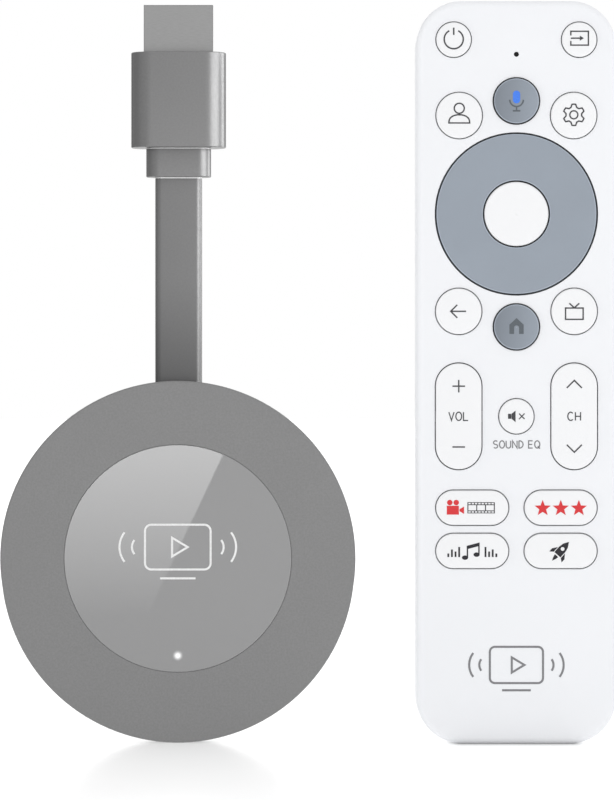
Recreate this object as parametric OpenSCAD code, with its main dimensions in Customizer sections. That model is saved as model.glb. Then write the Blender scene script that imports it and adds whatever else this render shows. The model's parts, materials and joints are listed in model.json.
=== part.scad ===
// Streaming media player: a round player that hangs from a television by a short flat
// lead with an HDMI plug, and its remote control standing beside it.
// Millimetres, +Z up. The origin is the centre of the plug's shoulder, where it meets the
// television's socket. The fronts face -Y.

/* [Plug and lead] */
// Width of the metal HDMI shell
hdmi_w = 13.9; // [13.8:0.05:14]
// Thickness of the metal HDMI shell
hdmi_t = 4.45; // [4.4:0.05:4.5]
// How far the metal shell stands out of its housing
hdmi_len = 9.5; // [9:0.1:12]
// Width of the plug's housing
plug_w = 19; // [18:0.5:22]
// Length of the plug's housing
plug_len = 19.1; // [18:0.1:24]
// Thickness of the plug's housing
plug_t = 10; // [9.5:0.5:12]
// Width of the strain relief collar
collar_w = 13; // [12.5:0.5:16]
// Length of the strain relief collar
collar_len = 5.9; // [4:0.1:9]
// Width of the flat lead
lead_w = 9.4; // [8:0.1:10]
// Thickness of the flat lead
lead_t = 3; // [2.6:0.1:3.4]
// Free length of the lead between the collar and the player
lead_free = 40.9; // [36:0.1:80]

/* [Player] */
// Diameter of the player
puck_d = 71; // [71:0.5:76]
// How far the round of the lower rim is set down from the player's centre
chin_drop = 1.5; // [0:0.1:1.8]
// Thickness of the player's two shells together
puck_t = 13; // [13:0.2:14]
// Diameter of the glossy window
lens_d = 45.4; // [43:0.2:46]
// Drop of the status light below the window's centre
led_drop = 19.4; // [18.8:0.1:19.6]

/* [Remote] */
// Width of the remote
remote_w = 39.8; // [38.4:0.2:42]
// Height of the remote
remote_h = 148; // [147:0.5:150]
// Thickness of the remote
remote_t = 18; // [18:0.2:19]
// Gap between the player's rim and the remote
remote_gap = 12.1; // [5:0.1:30]
// Width of the line between a key and its hole
key_gap = 0.2; // [0.15:0.01:0.25]
// How far a key stands out of the face
key_proud = 0.5; // [0.3:0.1:0.6]

/* [Hidden] */
$fn = 96;
HULL_FN = 40;
EPS = 0.01;

// Colours
C_GREY = "#888888";
C_LEAD = "#7e7e7e";
C_METAL = "#a0a0a0";
C_GOLD = "#c9a24a";
C_BLACK = "#222222";
C_BOARD = "#1f5a38";
C_WINDOW = "#9a9a9a";
C_WHITE = "#f4f6fa";
C_KEY = "#fcfcfc";
C_SLATE = "#a2aab5";
C_MAT = "#c8cacc";
C_CELL = "#3c6a52";

// Plug: heights along +Z
plug_bottom = -plug_len;
collar_bottom = plug_bottom - collar_len;
collar_t = 6.4;
plug_round = 4.2;
collar_round = 2.7;
lead_round = 1.3;
shell_sheet = 0.3;
shell_root = -6;
shield_sheet = 0.3;
shield_w = plug_w - 3.6;
shield_t = plug_t - 3.2;
shield_top = -1.2;
shield_bottom = plug_bottom + 2;
board_bottom = -12;
contact_pitch = 1;
contact_w = 0.45;
contact_t = 0.2;
cavity_w = 11.4;
cavity_t = 1.95;
cavity_depth = 7.4;
insulator_setback = 0.7;
slip = 0.05; // gap between pieces that fit face to face

// Player: depths along its axis, positive to the front
puck_r = puck_d / 2;
chin_r = puck_r - 0.2;
rim_bottom = max(puck_r, chin_drop + chin_r);
half_t = puck_t / 2;
puck_z = collar_bottom - lead_free - puck_r;
wall = 1.8;
face_t = 1.6;
rear_t = 1.8;
front_round = 0.4;
rear_round = 2.2;
seam = 0.12;
lip_h = 1;
lip_play = 0.08;
lens_r = lens_d / 2;
lens_t = 1;
tape_t = 0.2;
recess_r = lens_r + 0.04;
recess_soft = 0.06;
recess_depth = lens_t + tape_t;
recess_floor = 1.2;
plate_r = 29.8;
plate_t = 0.8;
plate_recess = 0.6;
pcb_top = -0.2;
pcb_t = 1;
pcb_bottom = pcb_top - pcb_t;
pcb_r = 31;
pcb_cut = 22;
boss_ring = 26.5;
boss_r = 2.5;
boss_end = -3;
rear_boss_r = 3.2;
screw_r = 0.95;
screw_head_r = 1.95;
screw_head_t = 1.4;
head_seat = -4.45;
can_t = 2.2;
grommet_w = 11.4;
grommet_t = 4.6;
lead_end_y = 25;
usb_w = 8.94;
usb_t = 3.26;
usb_len = 7.3;
usb_mouth = rim_bottom - 0.9;
usb_z = pcb_bottom - usb_t / 2;
reset_angle = 30; // from straight down, towards the remote
reset_z = -3.2;
reset_r = 1.6;
reset_proud = 0.25;
reset_rim = max(puck_r, chin_drop * cos(reset_angle) + chin_r);

// Remote: depths positive to the front
remote_x = puck_r + remote_gap + remote_w / 2;
remote_bottom = puck_z - rim_bottom;
remote_z = remote_bottom + remote_h / 2;
face = remote_t / 2;
corner = 9;
front_edge = 1.2;
rear_edge = 5;
part_z = 1;
part_gap = 0.15;
side_wall = 1.6;
plate_face = 1.4;
floor_t = 1.6;
flange_t = 0.6;
flange_out = 0.45;
flange_top = face - plate_face - 0.05;
stem_end = face - 2.65;
mat_top = face - 3.3;
mat_t = 0.8;
board_top = mat_top - mat_t;
board_t = 0.8;
board_y0 = -43.5;
board_y1 = 67.5;
dome_r = 2.2;
dome_t = 0.25;
ir_half_w = 6;
ir_low = part_z - 2;
ir_high = part_z + 4;
post_r = 1.6;
POSTS = [[-13.5, -8], [13.5, -8], [-13.5, 30], [13.5, 30], [-13.5, 62], [13.5, 62]];
ledge = 1.6; // width of the door's ledge
ledge_t = 1;
cell_r = 5.25;
cell_len = 43.7;
nub_len = 0.8;
cell_z = -face + 6.9;
cell_x = 5.4;
bay_y0 = -66;
bay_y1 = -15.5;
bay_half_w = 11.1;
bay_wall = 1;
bay_roof = board_top - board_t - 0.1;
bay_roof_t = 0.7;
door_half_w = 13.4;
door_t = 1.5;
door_play = 0.2;
door_y1 = -14.2;
door_pivot_y = -67.05;
door_pivot_z = -face + door_t / 2;
pin_r = 0.45;

// Key places on the remote's face: [x, y]
POWER_AT = [-12.5, 66.2];
INPUT_AT = [12.5, 66.2];
MIC_AT = [0, 63.3];
ASSISTANT_AT = [0, 54];
PROFILE_AT = [-11.4, 51.1];
SETTINGS_AT = [11.4, 51.1];
NAV_AT = [0, 31.5];
BACK_AT = [-11.5, 12.1];
GUIDE_AT = [11.5, 12.1];
HOME_AT = [0, 9];
VOLUME_AT = [-11.5, -8.8];
CHANNEL_AT = [11.5, -8.8];
MUTE_AT = [0, -8.8];
SHORTCUT_AT = [[-8.8, -27], [8.8, -27], [-8.8, -35.6], [8.8, -35.6]];

small_key_r = 3.45;
key_r = 4.55;
ok_r = 6.4;
nav_r = 16;
nav_gap = 0.27;
nav_hole_r = nav_r + nav_gap;
nav_top = face + 0.15;
nav_bottom = face - 2.4;
nav_flange_r = 16.7;
nav_flange_t = 0.4;
collar_in = 7.2;
collar_out = 8.6;
collar_gap = 0.3;
nav_collar_t = 0.35;
rocker = [9.1, 21.1];
pill = [14.4, 6.88];
nav_pad_ring = 12;

// Round keys: [place, radius]
ROUND_KEYS = [
    [POWER_AT, small_key_r], [INPUT_AT, small_key_r], [ASSISTANT_AT, key_r],
    [PROFILE_AT, key_r], [SETTINGS_AT, key_r], [BACK_AT, key_r],
    [GUIDE_AT, key_r], [HOME_AT, key_r], [MUTE_AT, small_key_r]
];

// Points of an arc about [cx, cy]
function arc(cx, cy, r, from, to, n = 8) =
    [for (i = [0:n]) let(a = from + (to - from) * i / n) [cx + r * cos(a), cy + r * sin(a)]];

// Turns a piece drawn as seen from the front (x right, y up, z to the viewer)
module facing() { rotate([90, 0, 0]) children(); }

module on_puck() { translate([0, 0, puck_z]) facing() children(); }

module on_remote() { translate([remote_x, 0, remote_z]) facing() children(); }

module rounded_rect(w, h, r) {
    square([w - 2 * r, h], center = true);
    square([w, h - 2 * r], center = true);
    for (x = [-1, 1], y = [-1, 1])
        translate([x * (w / 2 - r), y * (h / 2 - r)]) circle(r);
}

// A slot-shaped block, lying along its longer side
module slot_block(w, h, t) {
    r = min(w, h) / 2;
    dx = w / 2 - r;
    dy = h / 2 - r;
    translate([-max(dx, EPS / 2), -r, 0])
        if (w > h) cube([2 * dx, 2 * r, t]);
    translate([-r, -max(dy, EPS / 2), 0])
        if (h > w) cube([2 * r, 2 * dy, t]);
    for (s = [-1, 1]) translate([s * dx, s * dy, 0]) cylinder(r = r, h = t);
}

module box_between(a, b) { translate(a) cube(b - a); }

// ---------------------------------------------------------------- plug and lead

// Outline of the HDMI shell: the wide side faces the front
module hdmi_outline(inset) {
    w = hdmi_w / 2 - inset;
    t = hdmi_t / 2 - inset;
    step = 1.75;
    polygon([
        [-w, -t], [w, -t], [w, t - step - inset * 0.4],
        [w - step, t], [step - w, t], [-w, t - step - inset * 0.4]
    ]);
}

module hdmi_shell() {
    window = 2.2;
    color(C_METAL) difference() {
        translate([0, 0, shell_root]) linear_extrude(hdmi_len - shell_root) hdmi_outline(0);
        translate([0, 0, shell_root - 1])
            linear_extrude(hdmi_len - shell_root + 2) hdmi_outline(shell_sheet);
        for (x = [-3, 3])
            translate([x - window / 2, 0, hdmi_len / 2 - window / 2])
                cube([window, hdmi_t, window]);
    }
}

module hdmi_insulator() {
    top = hdmi_len - insulator_setback;
    color(C_BLACK) difference() {
        translate([0, 0, shell_root])
            linear_extrude(top - shell_root) hdmi_outline(shell_sheet + slip);
        translate([-cavity_w / 2, -cavity_t / 2, top - cavity_depth])
            cube([cavity_w, cavity_t, cavity_depth + 1]);
    }
}

// Ten contacts on one wall of the cavity and nine on the other
module hdmi_contacts() {
    top = hdmi_len - insulator_setback;
    color(C_GOLD) for (row = [0, 1], i = [0:9 - row])
        translate([
            (i - (9 - row) / 2) * contact_pitch - contact_w / 2,
            row == 0 ? cavity_t / 2 - contact_t : -cavity_t / 2,
            top - cavity_depth
        ]) cube([contact_w, contact_t, cavity_depth - 0.6]);
}

module plug_board() {
    color(C_BOARD) box_between([-5.5, -0.4, board_bottom], [5.5, 0.4, shell_root]);
}

module plug_shield() {
    inner_w = shield_w - 2 * shield_sheet;
    inner_t = shield_t - 2 * shield_sheet;
    color(C_METAL) difference() {
        translate([0, 0, shield_bottom])
            linear_extrude(shield_top - shield_bottom)
                square([shield_w, shield_t], center = true);
        translate([0, 0, shield_bottom + shield_sheet])
            linear_extrude(shield_top - shield_bottom - 2 * shield_sheet)
                square([inner_w, inner_t], center = true);
        translate([0, 0, shield_top - 1]) linear_extrude(2) hdmi_outline(-slip);
        translate([0, 0, shield_bottom - 1])
            linear_extrude(2) rounded_rect(lead_w + 2 * slip, lead_t + 2 * slip, lead_round);
    }
}

module plug_housing() {
    color(C_GREY) difference() {
        translate([0, 0, plug_bottom]) linear_extrude(plug_len) rounded_rect(plug_w, plug_t, plug_round);
        translate([0, 0, shield_bottom - slip])
            linear_extrude(shield_top - shield_bottom + 2 * slip)
                square([shield_w + 2 * slip, shield_t + 2 * slip], center = true);
        translate([0, 0, shield_top - 1]) linear_extrude(4) hdmi_outline(-slip);
        translate([0, 0, plug_bottom - 1])
            linear_extrude(4) rounded_rect(lead_w + 2 * slip, lead_t + 2 * slip, lead_round);
    }
}

module plug_collar() {
    color(C_GREY) difference() {
        translate([0, 0, collar_bottom])
            linear_extrude(collar_len) rounded_rect(collar_w, collar_t, collar_round);
        translate([0, 0, collar_bottom - 1])
            linear_extrude(collar_len + 2)
                rounded_rect(lead_w + 2 * slip, lead_t + 2 * slip, lead_round);
    }
}

module flat_lead() {
    bottom = puck_z + lead_end_y;
    color(C_LEAD) translate([0, 0, bottom])
        linear_extrude(board_bottom - bottom) rounded_rect(lead_w, lead_t, lead_round);
}

// ---------------------------------------------------------------- player

// The four screw places, between the window and the rim
module at_bosses() {
    for (a = [45:90:315]) rotate(a) translate([boss_ring, 0, 0]) children();
}

module grommet_hole(from, to) {
    box_between([-grommet_w / 2, puck_r - wall - 1, from], [grommet_w / 2, puck_r + 1, to]);
}

// A body turned about the player's axis, with its lower rim set down by chin_drop
module with_chin(profile_of) {
    rotate_extrude() polygon(profile_of(puck_r));
    translate([0, -chin_drop, 0]) rotate_extrude() polygon(profile_of(chin_r));
}

module puck_front_shell() {
    inside = half_t - face_t;
    floor_bottom = half_t - recess_depth - recess_floor;
    step_r = recess_r + 1.2;
    lip_r = puck_r - wall / 2;
    outer = function(r) concat(
        [[0, seam], [r, seam]],
        arc(r - front_round, half_t - front_round, front_round, 0, 90),
        [[0, half_t]]
    );
    cavity = [
        [0, seam - 1], [lip_r, seam - 1], [lip_r, lip_h + lip_play],
        [puck_r - wall, lip_h + lip_play], [puck_r - wall, inside],
        [step_r, inside], [step_r, floor_bottom], [0, floor_bottom]
    ];
    recess = concat(
        [[0, half_t - recess_depth], [recess_r, half_t - recess_depth]],
        arc(recess_r + recess_soft, half_t - recess_soft, recess_soft, 180, 90, 4),
        [[recess_r + recess_soft, half_t + 1], [0, half_t + 1]]
    );
    color(C_GREY) on_puck() difference() {
        union() {
            difference() {
                with_chin(outer);
                rotate_extrude() polygon(cavity);
                rotate_extrude() polygon(recess);
            }
            at_bosses() translate([0, 0, boss_end])
                cylinder(r = boss_r, h = inside - boss_end + 0.2);
        }
        at_bosses() translate([0, 0, boss_end - 1]) cylinder(r = screw_r + slip, h = 7);
        translate([0, -led_drop, 0]) cylinder(r = 0.8, h = half_t);
        grommet_hole(seam - 1, grommet_t / 2);
    }
}

module puck_rear_shell() {
    inside = rear_t - half_t;
    lip_r = puck_r - wall / 2 - lip_play;
    outer = function(r) concat(
        [[0, -half_t]],
        arc(r - rear_round, rear_round - half_t, rear_round, -90, 0),
        [[r, -seam], [0, -seam]]
    );
    color(C_GREY) on_puck() difference() {
        union() {
            difference() {
                union() {
                    with_chin(outer);
                    translate([0, 0, -seam - 0.5]) cylinder(r = lip_r, h = lip_h + seam + 0.5);
                }
                translate([0, 0, inside]) cylinder(r = puck_r - wall, h = half_t + lip_h);
                translate([0, 0, -half_t - 1]) cylinder(r = plate_r + 0.15, h = 1 + plate_recess);
            }
            at_bosses() translate([0, 0, inside - 0.2])
                cylinder(r = rear_boss_r, h = boss_end - 0.1 - inside + 0.2);
        }
        at_bosses() {
            translate([0, 0, -half_t]) cylinder(r = screw_head_r + 0.2, h = half_t + head_seat);
            translate([0, 0, -half_t]) cylinder(r = screw_r + 0.2, h = half_t);
        }
        grommet_hole(-grommet_t / 2, lip_h + 1);
        translate([0, -usb_mouth + 3, usb_z]) rotate([90, 0, 0])
            slot_block(usb_w + 0.5, usb_t + 0.5, 6);
        rotate(reset_angle) translate([0, -puck_r + 4, reset_z])
            rotate([90, 0, 0]) cylinder(r = reset_r + 0.15, h = 6);
    }
}

// Soft plate that covers the screws and rests on whatever is behind the player
module puck_rear_plate() {
    color(C_GREY) on_puck() translate([0, 0, plate_recess - half_t - plate_t])
        cylinder(r = plate_r, h = plate_t);
}

module front_window() {
    edge = 0.08;
    profile = [
        [0, half_t - lens_t], [lens_r, half_t - lens_t], [lens_r, half_t - edge],
        [lens_r - edge, half_t], [0, half_t]
    ];
    color(C_WINDOW) on_puck() rotate_extrude() polygon(profile);
}

module window_tape() {
    color(C_BLACK) on_puck() translate([0, 0, half_t - recess_depth]) difference() {
        cylinder(r = lens_r - 0.3, h = tape_t);
        translate([0, 0, -1]) cylinder(r = led_drop + 1.2, h = 3);
    }
}

module light_pipe() {
    color("white") on_puck() translate([0, -led_drop, pcb_top + 0.7]) {
        cylinder(r = 0.7, h = half_t - recess_depth - pcb_top - 0.7);
        cylinder(r = 1.1, h = 0.8);
    }
}

module status_led() {
    color("white") on_puck()
        translate([-0.8, -led_drop - 0.4, pcb_top]) cube([1.6, 0.8, 0.6]);
}

module main_board() {
    color(C_BOARD) on_puck() difference() {
        translate([0, 0, pcb_bottom]) cylinder(r = pcb_r, h = pcb_t);
        at_bosses() translate([0, 0, -5]) cylinder(r = boss_r + 0.3, h = 8);
        box_between([-puck_r, pcb_cut, -5], [puck_r, puck_r, 5]);
    }
}

module shield_can() {
    w = 28;
    h = 26;
    sheet = 0.2;
    color(C_METAL) on_puck() difference() {
        translate([-w / 2, -h / 2, pcb_top]) cube([w, h, can_t]);
        translate([sheet - w / 2, sheet - h / 2, pcb_top - 1])
            cube([w - 2 * sheet, h - 2 * sheet, can_t + 1 - sheet]);
    }
}

// Processor, two memory chips and the wireless chip, under the shield
module processor_chips() {
    chips = [
        [-7, -5, 14, 14, 1.2],
        [-12, -11.5, 9, 5, 0.9],
        [-1.5, -11.5, 9, 5, 0.9],
        [8.5, 1, 4.5, 7, 0.9]
    ];
    color(C_BLACK) on_puck() for (c = chips)
        translate([c[0], c[1], pcb_top]) cube([c[2], c[3], c[4]]);
}

module thermal_pad() {
    color(C_SLATE) on_puck() translate([-6, -4, pcb_top + 1.2]) cube([12, 12, 0.8]);
}

module heat_spreader() {
    color(C_METAL) on_puck() translate([0, 0, pcb_top + can_t]) cylinder(r = 17, h = 1.8);
}

// Two folded sheet-metal antennas at the sides of the board
module wifi_antennas() {
    color(C_GOLD) on_puck() for (s = [-1, 1])
        translate([s * 26, 0, pcb_top]) rotate([90, 0, 0])
            linear_extrude(9, center = true)
                polygon([
                    [-1.5, 0], [1.2, 0], [1.2, 2.6], [-2.5, 2.6],
                    [-2.5, 2.3], [0.9, 2.3], [0.9, 0.3], [-1.5, 0.3]
                ]);
}

// Soft bushing that carries the lead through the rim
module lead_grommet() {
    flange = 1.4;
    neck_inside = puck_r - wall - 0.1;
    color(C_LEAD) on_puck() difference() {
        union() {
            intersection() {
                box_between(
                    [slip - grommet_w / 2, neck_inside - 2, slip - grommet_t / 2],
                    [grommet_w / 2 - slip, puck_r, grommet_t / 2 - slip]
                );
                translate([0, 0, -5]) cylinder(r = puck_r - 0.15, h = 10);
            }
            box_between([-7, neck_inside - 3.4, -3.2], [7, neck_inside - 3.4 + flange + 1, 3.2]);
        }
        translate([0, puck_r + 1, 0]) rotate([90, 0, 0])
            linear_extrude(9) rounded_rect(lead_w + 2 * slip, lead_t + 2 * slip, lead_round);
    }
}

// Block on the board that the lead's wires are soldered into
module lead_header() {
    color(C_BLACK) on_puck() box_between([-6, 18.5, pcb_top], [6, lead_end_y - slip, pcb_top + 2.6]);
}

module usb_socket() {
    sheet = 0.3;
    color(C_METAL) on_puck() translate([0, -usb_mouth, usb_z]) rotate([-90, 0, 0]) {
        difference() {
            slot_block(usb_w, usb_t, usb_len);
            translate([0, 0, -1]) slot_block(usb_w - 2 * sheet, usb_t - 2 * sheet, usb_len - 0.3);
        }
        translate([-3.4, -0.35, 0.8]) cube([6.8, 0.7, usb_len - 2.05]);
    }
}

module reset_button() {
    inside = puck_r - wall;
    root = inside - 0.6;
    color(C_GREY) on_puck() rotate(reset_angle) {
        translate([0, -root, reset_z]) rotate([90, 0, 0])
            cylinder(r = reset_r, h = reset_rim + reset_proud - root);
        box_between([-2.5, 0.6 - inside, reset_z - 1.3], [2.5, 1.3 - inside, reset_z + 1.3]);
        box_between([-0.8, 1.25 - inside, reset_z - 0.8], [0.8, 2.6 - inside, reset_z + 0.8]);
    }
}

module reset_switch() {
    tip = puck_r - wall - 3.05;
    color(C_BLACK) on_puck() rotate(reset_angle) {
        box_between([-2.2, 0.8 - tip, pcb_bottom - 3], [2.2, 4 - tip, pcb_bottom]);
        box_between([-0.6, -tip, reset_z - 0.5], [0.6, 0.81 - tip, reset_z + 0.5]);
    }
}

module puck_screws() {
    slot = 0.5;
    color(C_METAL) on_puck() at_bosses() difference() {
        union() {
            translate([0, 0, head_seat - screw_head_t]) cylinder(r = screw_head_r, h = screw_head_t);
            translate([0, 0, head_seat - 0.1]) cylinder(r = screw_r, h = 7);
        }
        for (a = [0, 90]) rotate(a)
            translate([-1.1, -slot / 2, head_seat - screw_head_t - 1]) cube([2.2, slot, 1.8]);
    }
}

// ---------------------------------------------------------------- remote: casing

// The remote's outer form: round corners, a tight front edge and a soft rear edge
module remote_form() {
    profile = concat(
        [[0, -face]],
        arc(corner - rear_edge, rear_edge - face, rear_edge, -90, 0, 7),
        arc(corner - front_edge, face - front_edge, front_edge, 0, 90, 5),
        [[0, face]]
    );
    hull() for (x = [-1, 1], y = [-1, 1]) {
        translate([x * (remote_w / 2 - corner), y * (remote_h / 2 - corner), 0])
            rotate_extrude($fn = HULL_FN) polygon(profile);
    }
}

// A block with round corners, inset from the remote's outline
module remote_inner(inset, from, to) {
    translate([0, 0, from]) linear_extrude(to - from)
        rounded_rect(remote_w - 2 * inset, remote_h - 2 * inset, corner - inset + EPS);
}

// Space for the infrared window in the top end
module ir_block(gap, from) {
    box_between(
        [gap - ir_half_w, from, ir_low + gap],
        [ir_half_w - gap, remote_h / 2 + 1, ir_high - gap]
    );
}

module remote_top_shell() {
    under_face = face - plate_face;
    color(C_WHITE) on_remote() difference() {
        intersection() {
            remote_form();
            box_between([-50, -100, part_z], [50, 100, face + 1]);
        }
        remote_inner(side_wall, part_z - 1, under_face);
        for (k = ROUND_KEYS)
            translate([k[0].x, k[0].y, under_face - 1]) cylinder(r = k[1] + key_gap, h = 4);
        translate([NAV_AT.x, NAV_AT.y, under_face - 1]) cylinder(r = nav_hole_r, h = 4);
        translate([MIC_AT.x, MIC_AT.y, under_face - 1]) cylinder(r = 0.5, h = 4);
        for (p = [VOLUME_AT, CHANNEL_AT])
            translate([p.x, p.y, under_face - 1])
                slot_block(rocker.x + 2 * key_gap, rocker.y + 2 * key_gap, 4);
        for (p = SHORTCUT_AT)
            translate([p.x, p.y, under_face - 1])
                slot_block(pill.x + 2 * key_gap, pill.y + 2 * key_gap, 4);
        ir_block(0, remote_h / 2 - side_wall - 1.5);
    }
}

module remote_bottom_shell() {
    lip_inset = side_wall + lip_play;
    door_y0 = door_pivot_y - door_t / 2;
    floor_z = floor_t - face;
    color(C_WHITE) on_remote() difference() {
        union() {
            difference() {
                intersection() {
                    remote_form();
                    box_between([-50, -100, -face - 1], [50, 100, part_z - part_gap]);
                }
                remote_inner(side_wall, rear_edge - face - 1, face);
                remote_inner(3.5, floor_z, face);
            }
            difference() {
                union() {
                    remote_inner(side_wall - 0.2, part_z - 3, part_z - part_gap);
                    remote_inner(lip_inset, part_z - 1, part_z + lip_h);
                }
                remote_inner(lip_inset + 1, part_z - 4, part_z + 2);
            }
            box_between(
                [-bay_half_w - bay_wall, bay_y0 - bay_wall, floor_z - 0.2],
                [bay_half_w + bay_wall, bay_y1 + bay_wall, bay_roof]
            );
            box_between(
                [-door_half_w - ledge, door_y0 - ledge, floor_z - 0.2],
                [door_half_w + ledge, door_y1 + ledge, floor_z + ledge_t]
            );
            for (p = POSTS)
                translate([p.x, p.y, floor_z - 0.2])
                    cylinder(r = post_r, h = board_top - board_t - slip - floor_z + 0.2);
        }
        box_between(
            [-bay_half_w, bay_y0, -face],
            [bay_half_w, bay_y1, bay_roof - bay_roof_t]
        );
        box_between(
            [-door_half_w - door_play, door_y0 - door_play, -face - 1],
            [door_half_w + door_play, door_y1 + door_play, floor_z]
        );
        translate([-door_half_w - 1, door_pivot_y, door_pivot_z])
            rotate([0, 90, 0]) cylinder(r = pin_r + slip, h = 2 * door_half_w + 2);
        ir_block(0, remote_h / 2 - side_wall - 1.5);
    }
}

// Hinges on two pins at its lower edge, and snaps shut at its upper edge
module battery_door() {
    grip = 9;
    color(C_WHITE) on_remote() difference() {
        union() {
            box_between(
                [-door_half_w, door_pivot_y, -face],
                [door_half_w, door_y1, door_t - face]
            );
            translate([-door_half_w, door_pivot_y, door_pivot_z])
                rotate([0, 90, 0]) cylinder(r = door_t / 2, h = 2 * door_half_w);
            translate([-door_half_w - 0.8, door_pivot_y, door_pivot_z])
                rotate([0, 90, 0]) cylinder(r = pin_r, h = 2 * door_half_w + 1.6);
        }
        for (i = [0:2])
            translate([-grip / 2, door_y1 - 5 - 1.6 * i, -face]) rotate([0, 90, 0])
                cylinder(r = 0.5, h = grip);
        for (x = [-7, 7])
            box_between([x - 0.3, door_y1 - 7, -face - 1], [x + 0.3, door_y1 + 1, door_t - face + 1]);
    }
}

// ---------------------------------------------------------------- remote: inside

// An AAA cell along +Y with its button at the top
module cell() {
    rotate([-90, 0, 0]) {
        cylinder(r = cell_r, h = cell_len - 0.5);
        translate([0, 0, cell_len - 0.5]) cylinder(r = cell_r - 0.5, h = 0.5);
        translate([0, 0, cell_len]) cylinder(r = 1.9, h = nub_len);
    }
}

module battery_left() {
    color(C_CELL) on_remote()
        translate([-cell_x, bay_y1 - 0.4 - cell_len - nub_len, cell_z]) cell();
}

module battery_right() {
    color(C_CELL) on_remote()
        translate([cell_x, bay_y0 + 0.4 + cell_len + nub_len, cell_z]) rotate(180) cell();
}

// A coil of round wire along +Z, wide at z = 0
module coil(r0, r1, h, turns, wire) {
    per_turn = 14;
    sides = 6;
    rings = turns * per_turn;
    centre = function(i) let(t = i / rings, a = 360 * i / per_turn, r = r0 + (r1 - r0) * t)
        [r * cos(a), r * sin(a), wire + (h - 2 * wire) * t];
    points = [for (i = [0:rings], k = [0:sides - 1])
        let(a = 360 * i / per_turn, b = 360 * k / sides, c = centre(i))
            [c.x + wire * cos(b) * cos(a), c.y + wire * cos(b) * sin(a), c.z + wire * sin(b)]];
    faces = concat(
        [[for (k = [0:sides - 1]) k]],
        [[for (k = [sides - 1:-1:0]) rings * sides + k]],
        [for (i = [0:rings - 1], k = [0:sides - 1]) let(n = (k + 1) % sides, a = i * sides, b = a + sides)
            [a + k, b + k, b + n]],
        [for (i = [0:rings - 1], k = [0:sides - 1]) let(n = (k + 1) % sides, a = i * sides, b = a + sides)
            [a + k, b + n, a + n]]
    );
    polyhedron(points, faces, convexity = 6);
}

module battery_springs() {
    gap = bay_y1 - bay_y0 - 0.4 - cell_len - nub_len - slip;
    color(C_METAL) on_remote() {
        translate([-cell_x, bay_y0, cell_z]) rotate([-90, 0, 0]) coil(3.6, 2, gap, 4, 0.3);
        translate([cell_x, bay_y1, cell_z]) rotate([90, 0, 0]) coil(3.6, 2, gap, 4, 0.3);
    }
}

module battery_plates() {
    color(C_METAL) on_remote() {
        box_between([-cell_x - 4, bay_y1 - 0.35, cell_z - 4], [-cell_x + 4, bay_y1, cell_z + 4]);
        box_between([cell_x - 4, bay_y0, cell_z - 4], [cell_x + 4, bay_y0 + 0.35, cell_z + 4]);
    }
}

module remote_board() {
    color(C_BOARD) on_remote()
        box_between([-16.8, board_y0, board_top - board_t], [16.8, board_y1, board_top]);
}

// Places under the keys where a dome sits: [x, y]
DOME_PLACES = concat(
    [for (k = ROUND_KEYS) k[0]],
    SHORTCUT_AT,
    [for (p = [VOLUME_AT, CHANNEL_AT], s = [-7, 7]) [p.x, p.y + s]],
    [NAV_AT],
    [for (a = [0:90:270]) NAV_AT + nav_pad_ring * [cos(a), sin(a)]]
);

module keypad_mat() {
    color(C_MAT) on_remote() difference() {
        box_between([-16.6, board_y0 + 0.5, board_top], [16.6, board_y1 - 0.5, mat_top]);
        for (p = DOME_PLACES)
            translate([p.x, p.y, board_top - 1]) cylinder(r = dome_r + 0.1, h = 1 + dome_t + 0.1);
        box_between([MIC_AT.x - 2.2, MIC_AT.y - 1.8, 0], [MIC_AT.x + 2.2, MIC_AT.y + 1.8, face]);
    }
}

module key_domes() {
    color(C_METAL) on_remote() for (p = DOME_PLACES)
        translate([p.x, p.y, board_top]) cylinder(r1 = dome_r, r2 = dome_r - 0.6, h = dome_t, $fn = 48);
}

module ir_window() {
    color(C_BLACK) on_remote() intersection() {
        remote_form();
        ir_block(slip, remote_h / 2 - side_wall + 0.1);
    }
}

module ir_emitter() {
    color(C_SLATE) on_remote() translate([0, board_y1 - 2.6, 2.2]) {
        rotate([-90, 0, 0]) cylinder(r = 1.5, h = 4.2);
        translate([0, 4.2, 0]) intersection() {
            sphere(r = 1.5);
            translate([-2, -0.2, -2]) cube([4, 2, 4]);
        }
        box_between([-1.9, -0.8, -1.5], [1.9, 0, 1.5]);
    }
}

// The microphone in a soft boot whose nozzle fills the hole in the face
module microphone() {
    boot_h = 1;
    color(C_BLACK) on_remote() translate([MIC_AT.x, MIC_AT.y, board_top]) {
        box_between([-1.9, -1.4, 0], [1.9, 1.4, boot_h]);
        cylinder(r = 0.46, h = face - 0.25 - board_top);
    }
}

module radio_chip() {
    color(C_BLACK) on_remote()
        box_between([-5, 38, board_top - board_t - 1.2], [5, 48, board_top - board_t]);
}

// ---------------------------------------------------------------- remote: keys

// Top of a key's half profile: a round edge and a low crown
function key_crown(r) =
    let(top = face + key_proud, edge = 0.35, crown = 0.1)
    concat(
        arc(r - edge, top - edge, edge, 0, 80, 5),
        [for (t = [0.75, 0.5, 0.25, 0]) [r * t, top + crown * (1 - t * t)]]
    );

// Half profile of a key: a flange, a straight side and the crowned top
function key_profile(r) = concat(
    [[0, stem_end + 0.3], [r + flange_out, stem_end + 0.3 + EPS]],
    [[r + flange_out, flange_top], [r, flange_top]],
    key_crown(r)
);

module round_key(at, r, shade) {
    color(shade) on_remote() translate([at.x, at.y, 0]) {
        rotate_extrude() polygon(key_profile(r));
        translate([0, 0, stem_end]) cylinder(r = 1.5, h = 1);
    }
}

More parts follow.
